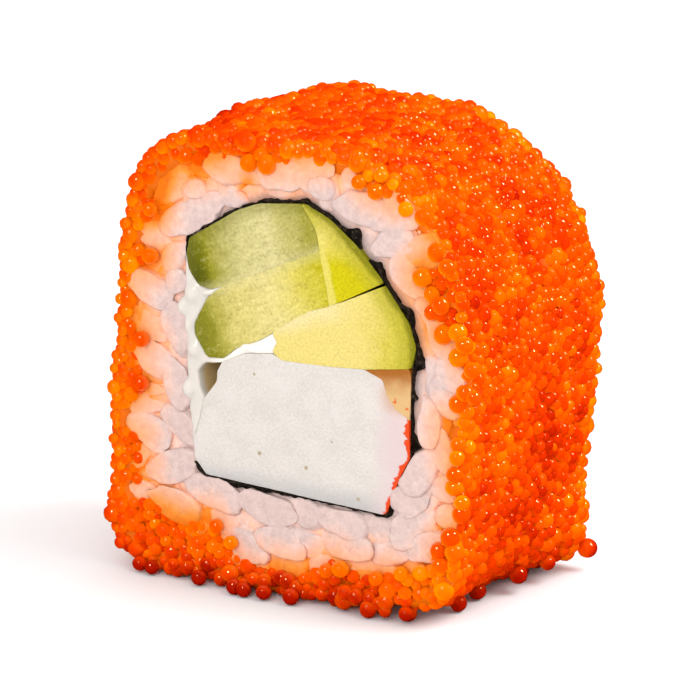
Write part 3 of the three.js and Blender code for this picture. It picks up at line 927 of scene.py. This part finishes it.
def rice_paint():
    paint = Paint("cooked_rice", Roughness=0.34, IOR=1.4, Specular_IOR_Level=0.15)
    cloud, fine = paint.cloud(1.4, 3), paint.cloud(0.3, 3, turn=0.5)
    stops = [(place, seen(*colour)) for place, colour in RICE_TONES]
    flake = paint.cells(1.1)
    y = paint.place()[1]
    # Painted light: the creases between grains are painted warmer and lighter
    crease = (FACE - y.math("ABSOLUTE")).step(*CREASE_DEPTH)
    soaked_and_crease_light = cloud * 0.25 + fine * 0.1 + flake * 0.12 + crease * GRAIN_CREASE_PAINTED_WARMTH - 0.28
    stain = paint.attribute("stain") + soaked_and_crease_light
    flesh = paint.node("ShaderNodeValToRGB", {"stops": stops}, {0: stain * (1 / STAIN_FULL)})
    pale = paint.cloud(0.9, 5).step(0.5, 0.75) * stain.step(0.7, 0.3)
    mottled = paint.mix(flesh, seen(250, 222, 212), pale * 0.45)
    # grainy also paints the creases lighter, as painted light
    grainy = fine * 0.4 + paint.cloud(0.8, 5) * 0.6 + crease * GRAIN_CREASE_PAINTED_LIGHT
    paint.set("Base Color", paint.vary(mottled, grainy, 0.7))
    paint.bump(cloud * 0.4 + fine * 0.3 + flake * 0.3, 0.2, 0.6)
    return paint.material


def finish_rice(name, mesh, paint, own=0):
    """own makes a grain paler or deeper than its neighbours."""
    keep_value(mesh, "stain", stain_and_crease_light_of(drawn(mesh)) + own)
    finish_piece(name, mesh, paint, "rice")


# The core under the grains: how far it lies inside the coat's outline and outside the seaweed's
RICE_CORE_WALLS = (2.4, 0.15)
RICE_CORE_SHORT = 1.3


def make_rice():
    rng = np.random.default_rng(GRAIN_SEED)
    paint = rice_paint()
    points, faces = ball(4)
    laid = [lay_grain(points, rng, -1, grain) for grain in FRONT_GRAINS]
    laid += [lay_grain(points, rng, 1, grain) for grain in loose_grains(rng, *BACK_GRAINS)]
    own = np.repeat(rng.normal(-UNDER_TONE, GRAIN_TONE, len(laid)), len(points))
    finish_rice("rice_grains", joined("rice_grains", np.array(laid), faces), paint, own)
    points, faces = ball(3)
    under = []
    for face in (-1, 1):
        under += [lay_grain(points, rng, face, grain) for grain in loose_grains(rng, *UNDER_GRAINS)]
    own = np.repeat(rng.normal(UNDER_TONE, GRAIN_TONE, len(under)), len(points))
    finish_rice("rice_under", joined("rice_under", np.array(under), faces), paint, own)
    outer, inner = RICE_CORE_WALLS
    inside = Outline(NORI, nori_line.length / len(roll.points))
    bm = sleeve(roll.shrunk(outer), inside.shrunk(-inner), ROLL_DEPTH - RICE_CORE_SHORT, spacing=1.5)
    roughen(bm, amount=0.2, size=1.5, seed=6)
    finish_rice("rice_core", to_mesh(bm, "rice_core"), paint)


# Seaweed

NORI_THICK = 0.15
NORI_THINNEST = 0.06
NORI_DEPTH = 24.2
# The stretch beside the cream, where the sheet ends behind it: lowest and highest z, and how far behind
NORI_BEHIND = (12.6, 33.0, 1.8)
# The stretch lies to the left of this x
NORI_LEFT = -9


def make_nori():
    paint = Paint("seaweed", Roughness=0.6, Specular_IOR_Level=0.12)
    cloud, fine = paint.cloud(0.6, 4), paint.cloud(0.25, 2)
    dark = paint.mix(seen(24, 17, 12), seen(70, 52, 38), cloud.step(0.45, 0.75))
    paint.set("Base Color", paint.mix(dark, seen(120, 108, 100), fine.step(0.62, 0.72) * 0.6))
    paint.bump(cloud, 0.12)
    line = Outline(NORI, 0.2)
    flat = np.zeros(len(line.points))
    spots = upright(line.points, flat)
    sway = 0.06 * wobble(spots, 2.2, 1) + 0.06 * wobble(spots, 0.7, 2)
    thick = NORI_THICK + 0.12 * wobble(spots, 1.4, 3) + 0.16 * wobble(spots, 0.5, 4)
    thick = thick + add_lumps(flat, line.points, NORI_FOLDS) * (1 + 0.35 * wobble(spots, 0.6, 5))
    outer = line.shrunk(-sway - np.maximum(thick, NORI_THINNEST))
    bm = sleeve(outer, line.shrunk(-sway), NORI_DEPTH, spacing=1.0)
    roughen(bm, amount=0.08, size=0.4, seed=7)
    low, high, behind = NORI_BEHIND
    for vert in bm.verts:
        if vert.co.x < NORI_LEFT * MM and low * MM < vert.co.z < high * MM:
            vert.co.y *= 1 - 2 * behind / NORI_DEPTH
    finish_piece("nori_sheet", to_mesh(bm, "nori_sheet"), paint.material, "nori")


# Fillings

# Colour along a cucumber slice from its skin end: millimetres and colour
UPPER_SLICE = [
    (0, (74, 77, 0)), (1, (120, 120, 4)), (2.2, (162, 156, 42)), (4, (192, 183, 98)),
    (6, (217, 206, 136)), (10, (231, 219, 153)), (12, (208, 197, 118)), (14.5, (174, 166, 62)),
]
LOWER_SLICE = [
    (0, (138, 136, 36)), (1.6, (152, 147, 36)), (3, (192, 182, 80)), (5, (225, 210, 122)),
    (10, (240, 224, 144)), (13, (236, 219, 114)), (15, (223, 208, 74)), (16.5, (206, 193, 28)),
]
# Pale line where the two slices meet: z at x = 0, and rise for each millimetre of x
CUCUMBER_SEAM = (34.07, 0.441)
FIBRE_TURN = math.radians(22)
# Where the skin of the crab stick has come loose: x and z
CRAB_LOOSE = (13.8, 23)
# Small pits in the crab stick, painted as darker spots for the shade in them: x, z and radius
CRAB_PORES = [
    (-2.4, 14.7, 0.3), (3.1, 14.1, 0.28), (9.2, 11.9, 0.25), (-3, 22.7, 0.2), (6.1, 17.2, 0.15),
]
# Where the avocado wedge lies against the cucumber: x and z, from below
WEDGE_BORDER = [(5.7, 30.8), (5.1, 34), (4.6, 36.1), (4.2, 38), (2.5, 40.5)]
# How far a filling is pressed into its neighbours, and the size of its cells
FILLING_PRESS = 0.04
FILLING_CELL = 0.55
# How its cut faces swell: amount, size of the lumps and a step of the seed
FILLING_SWELLS = [(0.14, 4.0, 0), (0.05, 0.9, 9)]


def in_hollow(paint, y, colour, shade):
    """The shaded colour behind the cut face, which shows only inside the hollows."""
    return paint.mix(colour, shade, (FACE - y.math("ABSOLUTE")).step(0.6, 1.5))


def distance(x, z, spot):
    return ((x - spot[0]) * (x - spot[0]) + (z - spot[1]) * (z - spot[1])).math("SQRT")


def cucumber_paint(name, skin_end, way, colours):
    """Pale wet flesh, dark green at the skin end, with colours along the slice."""
    paint = Paint(name, Roughness=0.3, IOR=1.36, Specular_IOR_Level=0.2, Subsurface_Weight=0.2,
                  Subsurface_Radius=(1.0, 0.85, 0.4), Subsurface_Scale=0.5 * MM)
    x, y, z = paint.place()
    cloud, fine = paint.cloud(2.2, 4), paint.cloud(0.3, 3, turn=FIBRE_TURN)
    fibre = paint.cloud(0.4, 3, (0.35, 1, 1), FIBRE_TURN)
    straight = (x - skin_end[0]) * math.cos(way) + (z - skin_end[1]) * math.sin(way)
    along = straight.ragged(cloud, 3)
    reach = colours[-1][0]
    stops = [(place / reach, seen(*colour)) for place, colour in colours]
    flesh = paint.node("ShaderNodeValToRGB", {"stops": stops}, {0: along * (1 / reach)})
    grainy = fibre * 0.4 + fine * 0.6
    grain = (grainy - 0.5) * 3
    light = paint.mix(flesh, seen(247, 238, 190), grain.step(0.0, 1.4) * 0.55)
    mottled = paint.mix(light, seen(150, 144, 60), grain.step(0.0, -1.0) * 0.45)
    upper = paint.attribute("rim").ragged(cloud).step(1.8, 0.1)
    topped = paint.mix(mottled, seen(140, 136, 50), upper * 0.55)
    seam = (z - (CUCUMBER_SEAM[0] + x * CUCUMBER_SEAM[1])).math("ABSOLUTE").ragged(fine, 0.3)
    pale = paint.mix(topped, seen(234, 223, 160), seam.step(1.4, 0.0) * 0.4)
    fleshy = paint.vary(pale, grainy, 1.0)
    paint.set("Base Color", in_hollow(paint, y, fleshy, seen(200, 180, 90)))
    paint.bump(grainy, 0.1, 0.6)
    return paint.material


def wedge_flesh(paint, x, z, cloud):
    """Deep yellow below, paler above and along the edge against the cucumber."""
    yellow = paint.mix(seen(247, 227, 128), seen(222, 208, 2), z.ragged(cloud, 2).step(38.6, 34.6))
    border = paint.attribute("left").ragged(cloud, 0.8).step(1.1, 0.6)
    return paint.mix(yellow, seen(246, 230, 120), border * 0.8)


def slice_flesh(paint, x, z, cloud):
    """Pale butter yellow, paler above and greener to the right."""
    above = (z - x * 0.3).ragged(cloud, 2).step(26.6, 28.4)
    butter = paint.mix(seen(249, 227, 134), seen(252, 234, 168), above * x.step(9, 5))
    return paint.mix(butter, seen(222, 206, 72), x.ragged(cloud, 5).step(8, 14.5))


def avocado_paint(name, flesh_of):
    """Buttery flesh, green next to the seaweed."""
    paint = Paint(name, Roughness=0.4, IOR=1.4, Specular_IOR_Level=0.15, Subsurface_Weight=0.2,
                  Subsurface_Radius=(1.0, 0.85, 0.3), Subsurface_Scale=0.5 * MM)
    x, y, z = paint.place()
    cloud, fine = paint.cloud(2.5, 4), paint.cloud(0.25, 3, turn=FIBRE_TURN)
    near = paint.attribute("rim").ragged(cloud, 1.2)
    green = paint.mix(flesh_of(paint, x, z, cloud), seen(198, 187, 52), near.step(2.6, 0.8) * 0.7)
    edge = paint.mix(green, seen(140, 136, 12), near.step(0.8, 0.1) * 0.9)
    speckled = paint.mix(edge, seen(206, 192, 78), (fine - 0.5).step(0.06, 0.25) * 0.15)
    fleshy = paint.vary(speckled, fine, 0.7)
    paint.set("Base Color", in_hollow(paint, y, fleshy, seen(150, 98, 24)))
    paint.bump(fine, 0.08, 0.6)
    return paint.material


def crab_paint():
    """White paste, greyer below as painted shade, and pink to the right, with a torn red skin on the right.
    """
    paint = Paint("crab_stick_flesh", Roughness=0.5, IOR=1.4, Specular_IOR_Level=0.35, Subsurface_Weight=0.4,
                  Subsurface_Radius=(1.0, 0.9, 0.8), Subsurface_Scale=0.5 * MM)
    x, y, z = paint.place()
    rim = paint.attribute("rim")
    cloud, fine = paint.cloud(3.0, 4), paint.cloud(0.28, 4, turn=0.6)
    spikes = paint.cloud(1.1, 3, (0.5, 1, 1))
    white = paint.mix(seen(245, 237, 230), seen(233, 225, 217), (cloud * 0.4 + fine * 0.6).step(0.4, 0.62))
    # Painted shade: greyer towards the bottom of the crab stick
    shaded_below = paint.mix(white, seen(196, 194, 195), z.ragged(cloud, 2).step(13.4, 11.2) * 0.65)
    pink = paint.mix(shaded_below, seen(243, 220, 219), x.ragged(cloud, 3).step(10, 13.6))
    red = rim.ragged(spikes, 2.6).step(0.45, 0.25) * x.step(11.8, 12.4) * z.step(21.8, 21.0)
    corner = distance(x, z, CRAB_LOOSE).ragged(cloud, 2).step(2.6, 1.2)
    loose = paint.mix(pink, seen(230, 186, 150), corner * 0.7)
    skin = paint.mix(loose, seen(255, 80, 16), red)
    # Painted shade: each pit is only a darker spot in the colour
    for pore in CRAB_PORES:
        pit = distance(x, z, pore).ragged(fine, 0.2).step(pore[2], pore[2] * 0.5)
        skin = paint.mix(skin, seen(196, 178, 146), pit)
    paint.set("Base Color", in_hollow(paint, y, skin, seen(255, 225, 165)))
    paint.bump(fine, 0.12, 0.7)
    return paint.material


def crab_skin_paint():
    """Thin tan skin with orange flecks, browner under the avocado as painted shade."""
    paint = Paint("crab_stick_skin", Roughness=0.4, Subsurface_Weight=0.2, Subsurface_Radius=(1.0, 0.7, 0.5),
                  Subsurface_Scale=0.6 * MM)
    x, _, z = paint.place()
    cloud = paint.cloud(1.2, 3)
    # Painted shade: browner towards the top, under the avocado
    shade = (z - x * 0.17).ragged(cloud, 1.6).step(20.4, 23.2)
    tan = paint.mix(seen(244, 198, 134), seen(192, 112, 20), shade)
    fleck = paint.mix(tan, seen(255, 112, 24), paint.cloud(0.9, 3).step(0.62, 0.68))
    paint.set("Base Color", fleck)
    paint.bump(cloud, 0.2)
    return paint.material


def cream_paint():
    paint = Paint("soft_cheese", Roughness=0.2, IOR=1.4, Specular_IOR_Level=0.5, Subsurface_Weight=0.6,
                  Subsurface_Radius=(1.0, 0.9, 0.8), Subsurface_Scale=0.8 * MM)
    x, y, _ = paint.place()
    cloud = paint.cloud(1.6, 3)
    left = paint.mix(seen(250, 243, 233), seen(238, 229, 220), cloud)
    # Painted light: the cream to the right, between the crab stick and the cucumber, is painted brighter
    # than its own colour against the shade there
    white = paint.mix(left, seen(280, 271, 257), x.ragged(cloud).step(-8.5, -6.5))
    paint.set("Base Color", in_hollow(paint, y, white, seen(255, 225, 165)))
    return paint.material


def make_filling(name, corners, depth, seed, paint, node, rim=0.08):
    line = Outline(corners, 0.25)
    line.points = line.shrunk(-FILLING_PRESS)
    bm = slab(line, depth, rim, FILLING_CELL)
    for amount, size, further in FILLING_SWELLS:
        swell(bm, amount, size, seed + further)
    mesh = to_mesh(bm, name)
    spots = drawn(mesh)
    keep_value(mesh, "rim", nori_line.inside(spots[:, ::2]))
    border = np.array(WEDGE_BORDER)
    keep_value(mesh, "left", spots[:, 0] - np.interp(spots[:, 2], border[:, 1], border[:, 0]))
    finish_piece(name, mesh, paint, node)


def make_fillings():
    make_filling("cucumber_slice_upper", CUCUMBER_UPPER, depth=24.44, seed=2,
                 paint=cucumber_paint("cucumber_above", (-10.6, 33.6), math.radians(15.3), UPPER_SLICE),
                 node="cucumber_upper", rim=0.03)
    make_filling("cucumber_slice_lower", CUCUMBER_LOWER, depth=24.48, seed=2,
                 paint=cucumber_paint("cucumber_below", (-9.9, 26.2), math.radians(23.1), LOWER_SLICE),
                 node="cucumber_lower", rim=0.03)
    make_filling("avocado_slice_upper", AVOCADO_UPPER, depth=24.36, seed=3,
                 paint=avocado_paint("avocado_above", wedge_flesh), node="avocado_upper")
    make_filling("avocado_slice_lower", AVOCADO_LOWER, depth=24.52, seed=4,
                 paint=avocado_paint("avocado_below", slice_flesh), node="avocado_lower")
    make_filling("crab_stick_cut", CRAB, depth=24.6, seed=5, paint=crab_paint(),
                 node="crab_stick")
    make_filling("crab_stick_skin", CRAB_SKIN, depth=24.5, seed=5, paint=crab_skin_paint(),
                 node="crab_stick")


# Half the depth of a blob of cream, and how far its middle lies behind the cut face
BLOB_HALF_DEPTH = 1.3
BLOB_SUNK = 0.85


def make_cream():
    """The spread and its blobs, fused into one soft mass."""
    bm = slab(Outline(CREAM), depth=24.46, rim=0.1, cell=1.5)
    for x, z, half_width, half_height in CREAM_BLOBS:
        for face in (-1, 1):
            made = bmesh.ops.create_icosphere(bm, subdivisions=3, radius=1)["verts"]
            size = (half_width * MM, BLOB_HALF_DEPTH * MM, half_height * MM)
            bmesh.ops.scale(bm, vec=size, verts=made)
            bmesh.ops.translate(bm, vec=at(x, face * (FACE - BLOB_SUNK), z), verts=made)
    rough = link_object("cream_rough", to_mesh(bm, "cream_rough"))
    fuse = rough.modifiers.new("fuse", "REMESH")
    fuse.mode, fuse.voxel_size = "VOXEL", 0.22 * MM
    ease = rough.modifiers.new("ease", "SMOOTH")
    ease.factor, ease.iterations = 0.5, 4
    fused = rough.evaluated_get(bpy.context.evaluated_depsgraph_get())
    mesh = bpy.data.meshes.new_from_object(fused)
    mesh.name = "cream_spread"
    bpy.data.objects.remove(rough)
    finish_piece("cream_spread", mesh, cream_paint(), "cream")


# Stage

CAMERA_AZIMUTH = math.radians(33.0)
CAMERA_ELEVATION = math.radians(15.15)
CAMERA_DISTANCE = 450.0
AIM_HEIGHT = 23.475
AIM_RIGHT = 0.204
AIM_UP = -0.651
SEEN_WIDTH = 70.0
SENSOR = 36.0
WORLD_LIGHT = 1.45
FLOOR_WHITE = 0.66
FLOOR_HALF = 3.0
LAMP_AIM = Vector((0, 0, 0.022))
HIGHLIGHT_COLOUR = (1, 0.78, 0.45)
# Lamps: name, place, width and height in metres, power, and whether it only makes highlights
LAMPS = [
    ("key_from_right", tuple(LIGHT_FROM * 0.46), (0.3, 0.3), 1.9, False),
    ("sparkle_from_right", tuple(LIGHT_FROM * 0.4), (0.09, 0.18), 2.1, True),
    ("glint_from_front", (0.02, -0.38, 0.34), (0.1, 0.14), 2.2, True),
    ("fill_from_front", (0.14, -0.52, 0.24), (0.4, 0.4), 1.4, False),
]


def make_camera():
    back = Vector((math.sin(CAMERA_AZIMUTH) * math.cos(CAMERA_ELEVATION),
                   -math.cos(CAMERA_AZIMUTH) * math.cos(CAMERA_ELEVATION), math.sin(CAMERA_ELEVATION)))
    right = Vector((math.cos(CAMERA_AZIMUTH), math.sin(CAMERA_AZIMUTH), 0))
    up = back.cross(right)
    aim = at(0, 0, AIM_HEIGHT) + (right * AIM_RIGHT + up * AIM_UP) * MM
    data = bpy.data.cameras.new("photo_camera")
    data.sensor_width = SENSOR
    data.lens = SENSOR * CAMERA_DISTANCE / SEEN_WIDTH
    data.clip_start = 0.01
    camera = link_object("photo_camera", data)
    turn = Matrix((right, up, back)).transposed().to_4x4()
    camera.matrix_world = Matrix.Translation(aim + back * CAMERA_DISTANCE * MM) @ turn
    bpy.context.scene.camera = camera


def make_lamp(name, place, size, power, highlight):
    data = bpy.data.lights.new(name, "AREA")
    data.shape = "ELLIPSE"
    data.size, data.size_y = size
    data.energy = power
    lamp = link_object(name, data)
    lamp.location = place
    lamp.rotation_euler = (LAMP_AIM - Vector(place)).to_track_quat("-Z", "Y").to_euler()
    if highlight:
        data.color = HIGHLIGHT_COLOUR
        lamp.visible_diffuse = False
        lamp.visible_transmission = False
    else:
        lamp.visible_glossy = False


def make_stage():
    bm = bmesh.new()
    bmesh.ops.create_grid(bm, x_segments=1, y_segments=1, size=FLOOR_HALF)
    mesh = to_mesh(bm, "pale_floor")
    paint = Paint("pale_floor", Roughness=0.9, Specular_IOR_Level=0.1)
    whites = [(share, share, share) for share in (FLOOR_WHITE, FLOOR_WHITE * 1.02)]
    paint.set("Base Color", paint.mix(*whites, paint.cloud(400)))
    mesh.materials.append(paint.material)
    floor = link_object("pale_floor", mesh)
    floor.visible_glossy = False
    world = bpy.data.worlds.new("studio")
    bpy.context.scene.world = world
    world.use_nodes = True
    background = world.node_tree.nodes["Background"]
    background.inputs["Color"].default_value = (1, 1, 1, 1)
    background.inputs["Strength"].default_value = WORLD_LIGHT
    world.cycles_visibility.glossy = False
    for lamp in LAMPS:
        make_lamp(*lamp)
    view = bpy.context.scene.view_settings
    view.view_transform, view.look = "Standard", "None"


make_eggs()
make_roe_core()
make_rice()
make_nori()
make_fillings()
make_cream()
make_camera()
make_stage()
